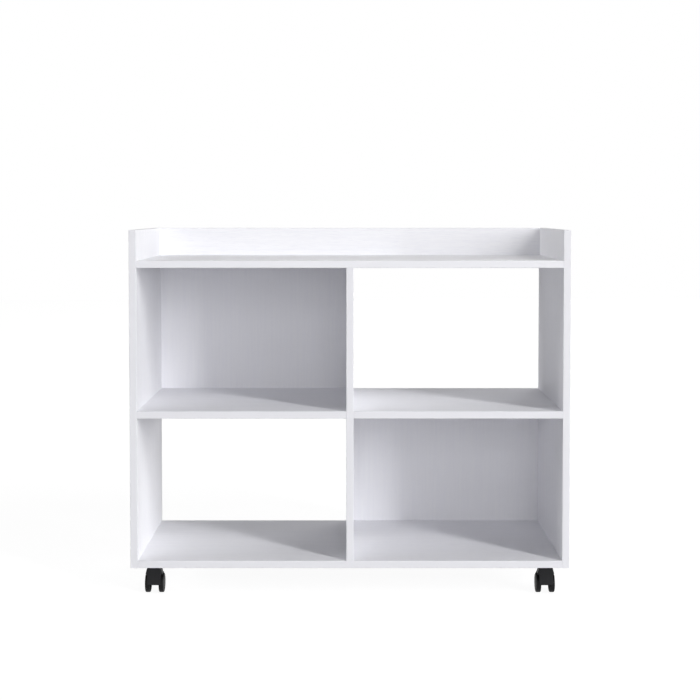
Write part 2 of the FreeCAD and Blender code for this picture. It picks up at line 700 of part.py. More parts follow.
def make_wheel(label, place, rotation):
    """A wheel: a cup with a domed, ringed face outside and a ribbed hub inside that snaps on the axle."""
    bore = "(axle_diameter / 2 + running_play)"
    lip = "(axle_diameter / 2 - lip_depth)"
    bore_end = "(axle_length / 2 + side_play)"
    hub_face = "(hood_web / 2 + side_play)"
    rim_face = "(caster_width / 2 - wheel_dome)"
    cup_floor = f"({rim_face} - wheel_disc)"
    cup_radius = f"({WHEEL_RADIUS} - wheel_rim)"
    crown = "(caster_width / 2)"
    dome_centre = f"(({crown} ^ 2 - {rim_face} ^ 2 - {WHEEL_RADIUS} ^ 2) / (2 * wheel_dome))"
    corners = [
        (bore_end, "0"),
        (bore_end, bore),
        ("axle_groove_at + lip_width / 2", bore),
        ("axle_groove_at + lip_width / 2", lip),
        ("axle_groove_at - lip_width / 2", lip),
        ("axle_groove_at - lip_width / 2", bore),
        (hub_face, bore),
        (hub_face, "wheel_hub / 2"),
        (cup_floor, "wheel_hub / 2"),
        (cup_floor, cup_radius),
        ("wheel_gap / 2", cup_radius),
        ("wheel_gap / 2", WHEEL_RADIUS),
        (rim_face, WHEEL_RADIUS),
        (crown, "0"),
    ]
    dome_starts = len(corners) - 2
    body = turned(label, corners, place, rotation, {dome_starts: ((dome_centre, "0"), False)})
    radius = number(WHEEL_RADIUS)
    rounded(body, body.Tip, "wheel_rounding", lambda edge: abs(round_radius(edge) - radius) < NEAR)

    ring = new_sketch(body, "XY_Plane", f"{label}_ring")
    dome_radius = f"({crown} - {dome_centre})"
    face_at_ring = f"({dome_centre} + sqrt({dome_radius} ^ 2 - (wheel_ring / 2) ^ 2))"
    rectangle(
        ring, f"{face_at_ring} - wheel_ring_depth", f"{crown} + end_play",
        "(wheel_ring - wheel_ring_width) / 2", "(wheel_ring + wheel_ring_width) / 2",
    )
    revolved_cut(body, ring, "H_Axis")

    rib = new_sketch(body, "YZ_Plane", f"{label}_rib", "wheel_gap / 2 + rib_setback")
    rectangle(
        rib, "-rib_thickness / 2", "rib_thickness / 2",
        f"{bore} + lip_depth", f"{cup_radius} + lip_depth",
    )
    first = pad(body, rib, f"{cup_floor} - wheel_gap / 2 - rib_setback + lip_depth")
    ribs = body.newObject("PartDesign::PolarPattern", f"{label}_ribs")
    ribs.Originals = [first]
    ribs.Axis = (origin_plane(body, "X_Axis"), [""])
    ribs.Angle = 360
    bind(ribs, "Occurrences", "rib_count")
    body.Tip = ribs
    doc.recompute()
    return body


def make_caster(name, across, along):
    """One caster, its pieces named after its corner of the bookcase."""
    centre_y = f"{MIDDLE} + {along}"
    stem_place = (across, centre_y, "0")
    axle_place = (across, f"{centre_y} + caster_trail", WHEEL_RADIUS)
    return [
        make_plate(f"{name}_caster_plate", stem_place),
        make_stem(f"{name}_caster_stem", stem_place),
        make_hood(f"{name}_caster_hood", stem_place),
        make_axle(f"{name}_caster_axle", axle_place),
        make_wheel(f"{name}_caster_left_wheel", axle_place, FreeCAD.Rotation(UP, 180)),
        make_wheel(f"{name}_caster_right_wheel", axle_place, FreeCAD.Rotation()),
    ]


# Fittings: one pattern piece each, then a group of placed copies

def make_cam_disc():
    """The pattern of a cam disc: a driver cross below, and a slot that grips the bolt's head."""
    body = new_body("cam_disc_pattern")
    blank = new_sketch(body, "XY_Plane", "cam_disc_blank")
    circles(blank, "cam_diameter", [("0", "0")])
    pad(body, blank, "cam_height")
    half_width = "(cam_slot_width / 2)"
    half_length = "(cam_slot_length / 2)"
    cross = new_sketch(body, "XY_Plane", "cam_disc_cross")
    outline(cross, [
        (half_width, half_width), (half_width, half_length), (f"-{half_width}", half_length),
        (f"-{half_width}", half_width), (f"-{half_length}", half_width), (f"-{half_length}", f"-{half_width}"),
        (f"-{half_width}", f"-{half_width}"), (f"-{half_width}", f"-{half_length}"),
        (half_width, f"-{half_length}"), (half_width, f"-{half_width}"),
        (half_length, f"-{half_width}"), (half_length, half_width),
    ])
    pocket(body, cross, "cam_slot_depth", along_normal=True)
    head = new_sketch(body, "YZ_Plane", "cam_disc_head_room")
    circles(head, "bolt_head + 2 * side_play", [("0", "board / 2")])
    pocket(body, head, "bolt_head_length + 2 * side_play", symmetric=True)
    neck = new_sketch(body, "YZ_Plane", "cam_disc_neck_slot")
    circles(neck, "bolt_neck + 2 * side_play", [("0", "board / 2")])
    pocket(body, neck, "cam_diameter", along_normal=True)
    return body


def cam_bolt_half(start):
    """Give the half of a cam bolt inside a board, from its collar at start to its head."""
    def inwards(depth):
        return f"-({start} + {depth})"

    shank_end = inwards("cam_reach - cam_diameter / 2 - end_play")
    head_start = inwards("cam_reach - bolt_head_length / 2")
    head_end = inwards("cam_reach + bolt_head_length / 2")
    return [
        (inwards("bolt_collar_length"), f"{COLLAR_DIAMETER} / 2"),
        (inwards("bolt_collar_length"), "bolt_shank / 2"),
        (shank_end, "bolt_shank / 2"),
        (shank_end, "bolt_neck / 2"),
        (head_start, "bolt_neck / 2"),
        (head_start, "bolt_head / 2"),
        (head_end, "bolt_head / 2"),
        (head_end, "0"),
    ]


def make_cam_bolt():
    """The pattern of a cam bolt: thread outwards along +X from the end of its board, head inside."""
    thread = [
        ("bolt_thread_length", "0"),
        ("bolt_thread_length", "bolt_diameter / 2 - bolt_point"),
        ("bolt_thread_length - bolt_point", "bolt_diameter / 2"),
        ("0", "bolt_diameter / 2"),
        ("0", f"{COLLAR_DIAMETER} / 2"),
    ]
    return turned("cam_bolt_pattern", thread + cam_bolt_half("0"))


def make_double_cam_bolt():
    """The pattern of a double cam bolt: a head in each shelf, and the collar through the divider."""
    left = cam_bolt_half("board / 2")
    right = [(f"-({along})", radius) for along, radius in reversed(left)]
    return turned("double_cam_bolt_pattern", right + left)


def make_dowel(label, near, far):
    """The pattern of a dowel between two places along X."""
    half = "(dowel_diameter / 2)"
    return turned(label, [
        (near, "0"),
        (near, f"{half} - dowel_chamfer"),
        (f"{near} + dowel_chamfer", half),
        (f"{far} - dowel_chamfer", half),
        (far, f"{half} - dowel_chamfer"),
        (far, "0"),
    ])


def make_nail():
    """The pattern of a nail, driven along +X, with its head above the sheet."""
    return turned("nail_pattern", [
        ("-nail_head_height", "0"),
        ("-nail_head_height", "nail_head_diameter / 2"),
        ("0", "nail_head_diameter / 2"),
        ("0", "nail_diameter / 2"),
        ("nail_length - nail_point", "nail_diameter / 2"),
        ("nail_length", "0"),
    ])


def make_rail_screw():
    """The pattern of a countersunk rail screw, driven along +X."""
    head = "(rail_screw_head / 2)"
    shank = "(rail_screw_diameter / 2)"
    return turned("rail_screw_pattern", [
        ("0", "0"),
        ("0", head),
        (f"{head} - {shank}", shank),
        ("rail_screw_length - screw_point", shank),
        ("rail_screw_length", "0"),
    ])


def make_caster_screw():
    """The pattern of a caster screw, driven along +X, with its flat head below the plate."""
    return turned("caster_screw_pattern", [
        ("-plate_screw_head_height", "0"),
        ("-plate_screw_head_height", "plate_screw_head / 2"),
        ("0", "plate_screw_head / 2"),
        ("0", "plate_screw_diameter / 2"),
        ("plate_screw_length - screw_point", "plate_screw_diameter / 2"),
        ("plate_screw_length", "0"),
    ])


def group(label, pattern, places):
    """Put copies of a pattern piece at places, as one sub-part of separate solids."""
    feature = doc.addObject("Part::Feature", label)
    feature.Label = label
    feature.Shape = Part.makeCompound([pattern.Shape.transformed(place.toMatrix(), True) for place in places])
    feature.Placement = FreeCAD.Placement()
    return feature


def facing(x, y, z, axis=UP, angle=0):
    """Give the placement of a fitting: where it sits and how its X axis is turned."""
    return FreeCAD.Placement(Vector(x, y, z), FreeCAD.Rotation(axis, angle))


def end_places(board_body, length, ends, setback, along, height):
    """Give fitting places at the ends of a cam board, in the bookcase's frame."""
    reach = number(f"{length} / 2") - setback
    return [
        board_body.Placement.multiply(facing(end * reach, y, height, angle=0 if end > 0 else 180))
        for end in ends for y in (number(along), -number(along))
    ]


def nail_places(sign, bay_floor):
    """Give the nails round a back sheet, half the lap in from its edges, driven to the front."""
    middle_x = number(f"{sign}(board + {BAY_WIDTH}) / 2")
    middle_z = number(f"{bay_floor} + bay_height / 2")
    half_x = number(f"{BAY_WIDTH} / 2 + back_lap / 2")
    half_z = number("(bay_height + back_lap) / 2")
    rear = number(f"{REAR} + back_thickness")
    across = int(number("nails_across"))
    between = int(number("nails_between"))
    spots = [
        (half_x * (2 * step / (across - 1) - 1), z)
        for step in range(across) for z in (-half_z, half_z)
    ]
    spots += [
        (x, half_z * (2 * step / (between + 1) - 1))
        for step in range(1, between + 1) for x in (-half_x, half_x)
    ]
    return [facing(middle_x + x, rear, middle_z + z, angle=-90) for x, z in spots]


# The case
left_side = make_side("left_side", "-", outward=False)
right_side = make_side("right_side", "", outward=True)
bottom_board = make_bottom_board()
top_board = make_top_board()
divider = make_divider()
left_shelf = make_shelf("left_shelf", "-")
right_shelf = make_shelf("right_shelf", "")
rail = make_rail()
upper_floor = f"({SHELF_LEVEL} + board)"
lower_floor = "(caster_height + board)"
upper_back = make_back_sheet("upper_back_sheet", "-", upper_floor)
lower_back = make_back_sheet("lower_back_sheet", "", lower_floor)
nodes = [
    left_side, right_side, bottom_board, top_board, divider,
    left_shelf, right_shelf, rail, upper_back, lower_back,
]

# The casters
for front_or_rear, along in (("front", f"-{CASTER_ALONG}"), ("rear", CASTER_ALONG)):
    for left_or_right, across in (("left", f"-{CASTER_ACROSS}"), ("right", CASTER_ACROSS)):
        nodes += make_caster(f"{front_or_rear}_{left_or_right}", across, along)

# The fittings: each board's length, and the ends that meet a face with a single bolt
jointed = (
    (bottom_board, INNER_WIDTH, (-1, 1)),
    (top_board, INNER_WIDTH, (-1, 1)),
    (divider, DIVIDER_HEIGHT, (-1, 1)),
    (left_shelf, BAY_WIDTH, (-1,)),
    (right_shelf, BAY_WIDTH, (1,)),
)
half_board = number("board / 2")
cam_places = []
bolt_places = []
dowel_places = []
for body, length, ends in jointed:
    cam_places += end_places(body, length, (-1, 1), number("cam_reach"), CAM_PLACE, 0)
    bolt_places += end_places(body, length, ends, 0, CAM_PLACE, half_board)
    dowel_places += end_places(body, length, ends, 0, DOWEL_PLACE, half_board)
rail_middle = Vector(0, number(f"{REAR} - board / 2"), number(f"{TOP_LEVEL} + {RAIL_HEIGHT} / 2"))
rail_end = number(f"{INNER_WIDTH} / 2")
dowel_places += [
    facing(rail_end, rail_middle.y, rail_middle.z),
    facing(-rail_end, rail_middle.y, rail_middle.z, angle=180),
]

shelf_middle = number(f"{SHELF_LEVEL} + board / 2")
middle_y = number(MIDDLE)
through_bolts = [facing(0, middle_y + number(y), shelf_middle) for y in both(CAM_PLACE)]
through_dowels = [facing(0, middle_y + number(y), shelf_middle) for y in both(DOWEL_PLACE)]
rail_screw_spots = [
    facing(number(x), number(REAR), number(f"{TOP_LEVEL} + board / 2"), angle=-90)
    for x, up in rail_screw_places("0")
]
plate_face = number("caster_height - plate_thickness")
half_pitch = number("plate_hole_pitch / 2")
caster_screw_places = [
    facing(number(x) + step_x, middle_y + number(y) + step_y, plate_face, ALONG, -90)
    for x in both(CASTER_ACROSS) for y in both(CASTER_ALONG)
    for step_x in (-half_pitch, half_pitch) for step_y in (-half_pitch, half_pitch)
]
through_end = "(board / 2 + dowel_in_end)"
nodes += [
    group("cam_discs", make_cam_disc(), cam_places),
    group("cam_bolts", make_cam_bolt(), bolt_places),
    group("double_cam_bolts", make_double_cam_bolt(), through_bolts),
    group("wood_dowels", make_dowel("dowel_pattern", "-dowel_in_end", "dowel_in_face"), dowel_places),
    group("long_dowels", make_dowel("long_dowel_pattern", f"-{through_end}", through_end), through_dowels),
    group("rail_screws", make_rail_screw(), rail_screw_spots),
    group("back_sheet_nails", make_nail(), nail_places("-", upper_floor) + nail_places("", lower_floor)),
    group("caster_screws", make_caster_screw(), caster_screw_places),
]

# Every object has to be sound before anything is written
doc.recompute()
for item in doc.Objects:
    if "Invalid" in item.State or "Error" in item.State:
        raise ValueError(f"{item.Label} failed: {item.State}")
for node in nodes:
    if node.Shape.isNull() or not node.Shape.isValid():
        raise ValueError(f"{node.Label} has no sound shape")

os.makedirs("parts", exist_ok=True)
for node in nodes:
    node.Shape.exportStep(os.path.join("parts", f"{node.Label}.step"))
print(f"{len(nodes)} sub-parts, {sum(len(node.Shape.Solids) for node in nodes)} solids")
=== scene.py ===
# %% [markdown]
# # A white bookcase on casters
#
# The shapes of this bookcase come from a CAD model. Blender gives them their finishes, their small
# fasteners, the studio and the camera. The frame is in metres: +Z is up, the front faces -Y and the
# origin lies on the floor under the middle. Each cell below is one step, and the cells run in order.

# %% Load the CAD model
import math

import bpy
import numpy as np
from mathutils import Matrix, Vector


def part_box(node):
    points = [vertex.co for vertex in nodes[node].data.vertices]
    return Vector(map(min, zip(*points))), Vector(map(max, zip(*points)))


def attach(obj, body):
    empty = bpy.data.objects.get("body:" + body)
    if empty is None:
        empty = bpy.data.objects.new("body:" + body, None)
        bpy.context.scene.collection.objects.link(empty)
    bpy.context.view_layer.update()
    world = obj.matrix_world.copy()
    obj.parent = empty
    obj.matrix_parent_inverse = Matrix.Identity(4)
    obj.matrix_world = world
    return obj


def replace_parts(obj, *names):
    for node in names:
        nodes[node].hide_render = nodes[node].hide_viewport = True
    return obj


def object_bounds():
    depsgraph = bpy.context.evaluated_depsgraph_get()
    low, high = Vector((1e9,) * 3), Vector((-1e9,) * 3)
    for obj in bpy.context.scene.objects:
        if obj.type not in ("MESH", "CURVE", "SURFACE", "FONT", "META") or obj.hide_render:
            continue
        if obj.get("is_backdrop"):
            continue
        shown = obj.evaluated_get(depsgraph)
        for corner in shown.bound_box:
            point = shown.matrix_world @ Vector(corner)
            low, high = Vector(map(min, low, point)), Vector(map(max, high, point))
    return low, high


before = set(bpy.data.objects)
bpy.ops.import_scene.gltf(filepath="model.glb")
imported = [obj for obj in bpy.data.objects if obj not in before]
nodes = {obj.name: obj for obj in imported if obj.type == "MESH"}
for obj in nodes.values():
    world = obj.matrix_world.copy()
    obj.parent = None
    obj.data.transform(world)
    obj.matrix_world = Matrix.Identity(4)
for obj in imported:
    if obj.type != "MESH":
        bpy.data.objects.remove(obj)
cad_low, cad_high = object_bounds()
MM = 0.001
print(f"{len(nodes)} CAD pieces, {(cad_high - cad_low).x / MM:.0f} mm wide")

# %% [markdown]
# ## Colours and nodes
#
# A colour is written as a screen shows it, in sRGB hex, while Blender mixes light in linear values.
# One function does that step. A second one adds a shader node, sets what it is and fills its inputs,
# so that a finish reads as a list of what goes into what. The others start a finish, put it on CAD
# pieces, and turn a size in millimetres into a pattern's scale. A Mix node has sockets of one name
# for numbers, vectors and colours, so those for colours are picked by their places.

# %% Helpers for every finish
COLOUR_A, COLOUR_B, MIXED_COLOUR = 6, 7, 2


def linear(hex_colour):
    """Turn sRGB hex into linear RGBA: c / 12.92 for dark channels, else ((c + 0.055) / 1.055) ^ 2.4."""
    srgb = np.array([int(hex_colour[i:i + 2], 16) for i in (1, 3, 5)]) / 255
    channels = np.where(srgb <= 0.04045, srgb / 12.92, ((srgb + 0.055) / 1.055) ** 2.4)
    return (*channels.tolist(), 1.0)


def add(tree, kind, inputs=None, **settings):
    """Add a node, set its properties, and fill its inputs: an output is linked, a value is stored."""
    node = tree.nodes.new(kind)
    for name, value in settings.items():
        setattr(node, name, value)
    for name, value in (inputs or {}).items():
        if isinstance(value, bpy.types.NodeSocket):
            tree.links.new(value, node.inputs[name])
        else:
            node.inputs[name].default_value = value
    return node


def new_finish(name):
    """Start a material with no nodes, and give it back with its tree and the Object coordinates."""
    material = bpy.data.materials.new(name)
    material.use_nodes = True
    tree = material.node_tree
    tree.nodes.clear()
    return material, tree, add(tree, "ShaderNodeTexCoord").outputs["Object"]


def finish_with(material, *names):
    """Give CAD nodes a finish."""
    for name in names:
        nodes[name].data.materials.clear()
        nodes[name].data.materials.append(material)


def per_metre(millimetres):
    """A pattern that repeats every so many millimetres has this scale on coordinates in metres."""
    return 1 / (millimetres * MM)


print("board white in linear light:", [round(c, 3) for c in linear("#F9F9FC")[:3]])

# %% [markdown]
# ## Pores of the melamine
#
# The boards are chipboard under a white melamine paper, which is pressed hot against a steel plate.
# The plate leaves a satin gloss and the fine pores of wood, drawn out along each board, with next to
# no colour. The pores could be modelled, but they are only hundredths of a millimetre deep, so a noise
# that is drawn out along the board gives them. They are coarser than real ones so that they show. A
# second, wider noise gives the fibres between them. Uprights have their pores along Z and level boards
# along X.

# %% Pores and fibres
PORE_MM = 1.4
FIBRE_MM = 8
PORE_STRETCH = 0.06
ALONG_X = (PORE_STRETCH, 1, 1)
ALONG_Z = (1, 1, PORE_STRETCH)


def pores_and_fibres(tree, place, stretch):
    """Give two noises, each spread to 0..1 and drawn out along the axis whose scale is small."""
    drawn_out = add(tree, "ShaderNodeMapping", {"Vector": place, "Scale": stretch}).outputs["Vector"]
    pores = add(tree, "ShaderNodeTexNoise", {
        "Vector": drawn_out, "Scale": per_metre(PORE_MM), "Detail": 2.0, "Roughness": 0.6,
    }).outputs["Fac"]
    pressed = add(tree, "ShaderNodeMapRange", {
        "Value": pores, "From Min": 0.5, "From Max": 0.68,
    }).outputs["Result"]
    fibres = add(tree, "ShaderNodeTexNoise", {
        "Vector": drawn_out, "Scale": per_metre(FIBRE_MM), "Detail": 3.0, "Roughness": 0.6,
    }).outputs["Fac"]
    streaks = add(tree, "ShaderNodeMapRange", {
        "Value": fibres, "From Min": 0.35, "From Max": 0.65,
    }).outputs["Result"]
    return pressed, streaks


print(f"pores {PORE_MM} mm wide and about {PORE_MM / PORE_STRETCH:.0f} mm long")

# %% [markdown]
# ## Band on the front edges
#
# The open edges of the boards are closed with a plain white plastic band, with a hairline of glue
# behind it. It could be a strip of its own, but it lies flush. So it is found from the depth
# coordinate, because all front edges lie in one plane.

# %% Edge band and glue line
FRONT = cad_low.y
BAND = 1.0 * MM
GLUE_LINE = 0.3 * MM


def band_and_glue(tree, place):
    """Give 1 on the band, where y < FRONT + BAND, and 1 on the glue, over GLUE_LINE behind that."""
    depth = add(tree, "ShaderNodeSeparateXYZ", {"Vector": place}).outputs["Y"]
    on_band = add(tree, "ShaderNodeMath", {
        0: depth, 1: FRONT + BAND,
    }, operation="LESS_THAN").outputs[0]
    on_glue = add(tree, "ShaderNodeMath", {
        0: depth, 1: FRONT + BAND + GLUE_LINE / 2, 2: GLUE_LINE / 2,
    }, operation="COMPARE").outputs[0]
    return on_band, on_glue


print(f"front edges at {FRONT / MM:.1f} mm, band {BAND / MM:.1f} mm")

# %% [markdown]
# ## White melamine on the boards
#
# The fibres change the white and the gloss a little, and the pores add a slightly darker tone and a
# bump. The band and the glue are laid over that in turn. The top board, which is used and wiped the
# most, has a smoother and harder paper, so it mirrors a little of the rail behind it.

# %% White melamine
PORE_DEPTH = 0.06 * MM
SATIN = {"least_rough": 0.52, "most_rough": 0.62, "specular": 0.15}
SMOOTH = {"least_rough": 0.36, "most_rough": 0.44, "specular": 0.5}


def white_melamine(name, stretch, paper):
    """Build the finish of a melamine paper, with its pores drawn out as asked."""
    material, tree, place = new_finish(name)
    pressed, streaks = pores_and_fibres(tree, place, stretch)
    on_band, on_glue = band_and_glue(tree, place)
    tone = linear("#F5F5F9")
    for share, colour in ((streaks, "#F9F9FC"), (pressed, "#F2F2F7"),
                          (on_band, "#F5F5FA"), (on_glue, "#D9D9DE")):
        tone = add(tree, "ShaderNodeMix", {
            "Factor": share, COLOUR_A: tone, COLOUR_B: linear(colour),
        }, data_type="RGBA").outputs[MIXED_COLOUR]
    gloss = add(tree, "ShaderNodeMapRange", {
        "Value": streaks, "To Min": paper["least_rough"], "To Max": paper["most_rough"],
    }).outputs["Result"]
    relief = add(tree, "ShaderNodeBump", {
        "Height": pressed, "Strength": 0.25, "Distance": PORE_DEPTH,
    }, invert=True).outputs["Normal"]
    shader = add(tree, "ShaderNodeBsdfPrincipled", {
        "Base Color": tone, "Roughness": gloss, "Normal": relief,
        "IOR": 1.5, "Specular IOR Level": paper["specular"],
    }).outputs["BSDF"]
    add(tree, "ShaderNodeOutputMaterial", {"Surface": shader})
    return material


upright = white_melamine("white_melamine_upright", ALONG_Z, SATIN)
level_board = white_melamine("white_melamine_level", ALONG_X, SATIN)
smooth_top = white_melamine("white_melamine_top", ALONG_X, SMOOTH)
finish_with(upright, "left_side", "right_side", "centre_divider")
finish_with(level_board, "bottom_board", "left_shelf", "right_shelf", "gallery_rail")
finish_with(smooth_top, "top_board")
print("melamine on", upright.users, "uprights,", level_board.users, "level boards and the top")

# %% [markdown]
# ## Lacquered hardboard
#
# The two backs are thin hardboard, lacquered white by a roller. The roller leaves long faint streaks
# along the sheet, and the screen that the fibres were pressed on leaves a fine mesh on the rear face.
# Streaks are a noise that is drawn out in one direction, and the mesh is two sets of waves, coarser
# than the real millimetre so that they show. A Wave texture makes 20 / tau waves per unit at scale 1.

# %% Streaks and screen of the hardboard
STREAK_MM = 5
STREAK_STRETCH = 0.04
MESH_MM = 6
WAVES_PER_UNIT = 20 / math.tau
REAR_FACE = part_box("upper_back_sheet")[1].y
REAR_SKIN = 0.5 * MM

hardboard, tree, place = new_finish("white_lacquered_hardboard")
stretched = add(tree, "ShaderNodeMapping", {
    "Vector": place, "Scale": (1, 1, STREAK_STRETCH),
}).outputs["Vector"]
rolled = add(tree, "ShaderNodeTexNoise", {
    "Vector": stretched, "Scale": per_metre(STREAK_MM), "Detail": 3.0, "Roughness": 0.6,
}).outputs["Fac"]
streaks = add(tree, "ShaderNodeMapRange", {
    "Value": rolled, "From Min": 0.35, "From Max": 0.65,
}).outputs["Result"]
waves = {"Vector": place, "Scale": per_metre(MESH_MM) / WAVES_PER_UNIT}
across = add(tree, "ShaderNodeTexWave", waves, bands_direction="X").outputs["Fac"]
upwards = add(tree, "ShaderNodeTexWave", waves, bands_direction="Z").outputs["Fac"]
screen = add(tree, "ShaderNodeMath", {0: across, 1: upwards}, operation="MULTIPLY").outputs[0]
depth = add(tree, "ShaderNodeSeparateXYZ", {"Vector": place}).outputs["Y"]
at_rear = add(tree, "ShaderNodeMath", {
    0: depth, 1: REAR_FACE - REAR_SKIN,
}, operation="GREATER_THAN").outputs[0]
rear_screen = add(tree, "ShaderNodeMath", {0: screen, 1: at_rear}, operation="MULTIPLY").outputs[0]
print(f"rear of the backs at {REAR_FACE / MM:.1f} mm")

# %% Lacquered hardboard on the backs
LACQUER_DEPTH = 0.08 * MM

height = add(tree, "ShaderNodeMath", {0: rear_screen, 1: streaks}, operation="ADD").outputs[0]
tone = add(tree, "ShaderNodeMix", {
    "Factor": streaks, COLOUR_A: linear("#F5F5FA"), COLOUR_B: linear("#F8F8FC"),
}, data_type="RGBA").outputs[MIXED_COLOUR]
gloss = add(tree, "ShaderNodeMapRange", {
    "Value": streaks, "To Min": 0.52, "To Max": 0.66,
}).outputs["Result"]
relief = add(tree, "ShaderNodeBump", {
    "Height": height, "Strength": 0.15, "Distance": LACQUER_DEPTH,
}).outputs["Normal"]
shader = add(tree, "ShaderNodeBsdfPrincipled", {
    "Base Color": tone, "Roughness": gloss, "Normal": relief, "IOR": 1.5, "Specular IOR Level": 0.15,
}).outputs["BSDF"]
add(tree, "ShaderNodeOutputMaterial", {"Surface": shader})
finish_with(hardboard, "upper_back_sheet", "lower_back_sheet")
print("hardboard on", hardboard.users, "sheets")

# %% [markdown]
# ## Black nylon casters
#
# Hoods and wheels are moulded from black nylon. The mould was etched by sparks, so the skin is finely
# grained and shines only softly, and it looks dark grey where it mirrors a white room. The wheels are
# a darker and slightly duller grade than the hoods. One noise gives the grain, coarser than the real
# tenth of a millimetre so that it shows, and a larger one the uneven sheen that handling leaves.

# %% Black nylon for hoods and wheels
CORNERS = [f"{end}_{side}" for end in ("front", "rear") for side in ("left", "right")]
GRAIN_MM = 0.7
SHEEN_MM = 11
GRAIN_DEPTH = 0.08 * MM


def black_nylon(name, dark, pale, least_rough, most_rough):
    """Build the nylon finish between a darker and a paler tone, with a range of roughness."""
    material, tree, place = new_finish(name)
    grain = add(tree, "ShaderNodeTexNoise", {
        "Vector": place, "Scale": per_metre(GRAIN_MM), "Detail": 2.0, "Roughness": 0.6,
    }).outputs["Fac"]
    handling = add(tree, "ShaderNodeTexNoise", {
        "Vector": place, "Scale": per_metre(SHEEN_MM), "Detail": 4.0, "Roughness": 0.65,
    }).outputs["Fac"]
    tone = add(tree, "ShaderNodeMix", {
        "Factor": handling, COLOUR_A: linear(dark), COLOUR_B: linear(pale),
    }, data_type="RGBA").outputs[MIXED_COLOUR]
    gloss = add(tree, "ShaderNodeMapRange", {
        "Value": handling, "From Min": 0.3, "From Max": 0.7,
        "To Min": least_rough, "To Max": most_rough,
    }).outputs["Result"]
    relief = add(tree, "ShaderNodeBump", {
        "Height": grain, "Strength": 0.4, "Distance": GRAIN_DEPTH,
    }).outputs["Normal"]
    shader = add(tree, "ShaderNodeBsdfPrincipled", {
        "Base Color": tone, "Roughness": gloss, "Normal": relief,
        "IOR": 1.53, "Specular IOR Level": 0.12,
    }).outputs["BSDF"]
    add(tree, "ShaderNodeOutputMaterial", {"Surface": shader})
    return material


hood_nylon = black_nylon("black_nylon_hood", "#1F1F21", "#29292B", 0.4, 0.52)
wheel_nylon = black_nylon("black_nylon_wheel", "#121213", "#1D1D1E", 0.42, 0.56)
for corner in CORNERS:
    finish_with(hood_nylon, f"{corner}_caster_hood")
    finish_with(wheel_nylon, f"{corner}_caster_left_wheel", f"{corner}_caster_right_wheel")
print("nylon on", hood_nylon.users, "hoods and", wheel_nylon.users, "wheels")

# %% [markdown]
# ## Zinc
#
# Plates, stems, axles, bolts, nails and screws are steel with a thin coat of zinc, which is bright, a
# little blue and slightly cloudy. Cam discs are cast from zinc, so they are greyer and rougher. One
# noise clouds the tone, the gloss and a shallow relief alike. A metal keeps the default IOR.

# %% Zinc-plated steel and cast zinc
def zinc(name, dark, pale, least_rough, most_rough, cloud_mm, relief_mm):
    """Build a zinc finish: two greys clouded at a size in millimetres, with a shallow relief."""
    material, tree, place = new_finish(name)
    cloud = add(tree, "ShaderNodeTexNoise", {
        "Vector": place, "Scale": per_metre(cloud_mm), "Detail": 4.0, "Roughness": 0.6,
    }).outputs["Fac"]
    tone = add(tree, "ShaderNodeMix", {
        "Factor": cloud, COLOUR_A: linear(dark), COLOUR_B: linear(pale),
    }, data_type="RGBA").outputs[MIXED_COLOUR]
    gloss = add(tree, "ShaderNodeMapRange", {
        "Value": cloud, "From Min": 0.3, "From Max": 0.7,
        "To Min": least_rough, "To Max": most_rough,
    }).outputs["Result"]
    relief = add(tree, "ShaderNodeBump", {
        "Height": cloud, "Strength": 0.3, "Distance": relief_mm * MM,
    }).outputs["Normal"]
    shader = add(tree, "ShaderNodeBsdfPrincipled", {
        "Base Color": tone, "Roughness": gloss, "Normal": relief, "Metallic": 1.0,
    }).outputs["BSDF"]
    add(tree, "ShaderNodeOutputMaterial", {"Surface": shader})
    return material


plated_steel = zinc("zinc_plated_steel", "#B9BEC4", "#D3D6D8", 0.24, 0.36, cloud_mm=4, relief_mm=0.02)
cast_zinc = zinc("cast_zinc", "#8F9194", "#A8AAAC", 0.42, 0.58, cloud_mm=1.2, relief_mm=0.1)
for corner in CORNERS:
    finish_with(plated_steel, *(f"{corner}_caster_{piece}" for piece in ("plate", "stem", "axle")))
finish_with(plated_steel, "cam_bolts", "double_cam_bolts")
finish_with(plated_steel, "rail_screws", "back_sheet_nails", "caster_screws")
finish_with(cast_zinc, "cam_discs")
print("plated steel on", plated_steel.users, "pieces, cast zinc on", cast_zinc.users)

# %% [markdown]
# ## Beech
#
# Dowels are cut from beech rods, pale and straight-grained, with short darker flecks. They sit inside
# the boards, so a noise that is drawn out along X, as most of them lie, is enough, with no relief.

# %% Beech for the dowels
BEECH_MM = 1.5
BEECH_STRETCH = 0.1

beech, tree, place = new_finish("beech_dowel")
grain_way = add(tree, "ShaderNodeMapping", {
    "Vector": place, "Scale": (BEECH_STRETCH, 1, 1),
}).outputs["Vector"]
grain = add(tree, "ShaderNodeTexNoise", {
    "Vector": grain_way, "Scale": per_metre(BEECH_MM), "Detail": 3.0, "Roughness": 0.6,
}).outputs["Fac"]
tone = add(tree, "ShaderNodeMix", {
    "Factor": grain, COLOUR_A: linear("#C79B6C"), COLOUR_B: linear("#E2C29A"),
}, data_type="RGBA").outputs[MIXED_COLOUR]
shader = add(tree, "ShaderNodeBsdfPrincipled", {
    "Base Color": tone, "Roughness": 0.6, "IOR": 1.5,
}).outputs["BSDF"]
add(tree, "ShaderNodeOutputMaterial", {"Surface": shader})
finish_with(beech, "wood_dowels", "long_dowels")
print("beech on", beech.users, "sets of dowels")

# %% [markdown]
# ## A nail
#
# Flat-headed wire nails hold the backs. A nail's head is struck from the wire and comes out slightly
# domed, with a soft rim. It could be put together from cylinders, but it is a turned shape, so a
# profile of heights and radii is carried round an axis as one grid. Both are in millimetres, and
# heights are above the face that the head sits on: the head is 0.8 high and 4 wide, the wire 1.4.

# %% Turn a nail
NAIL_SIDES = 20


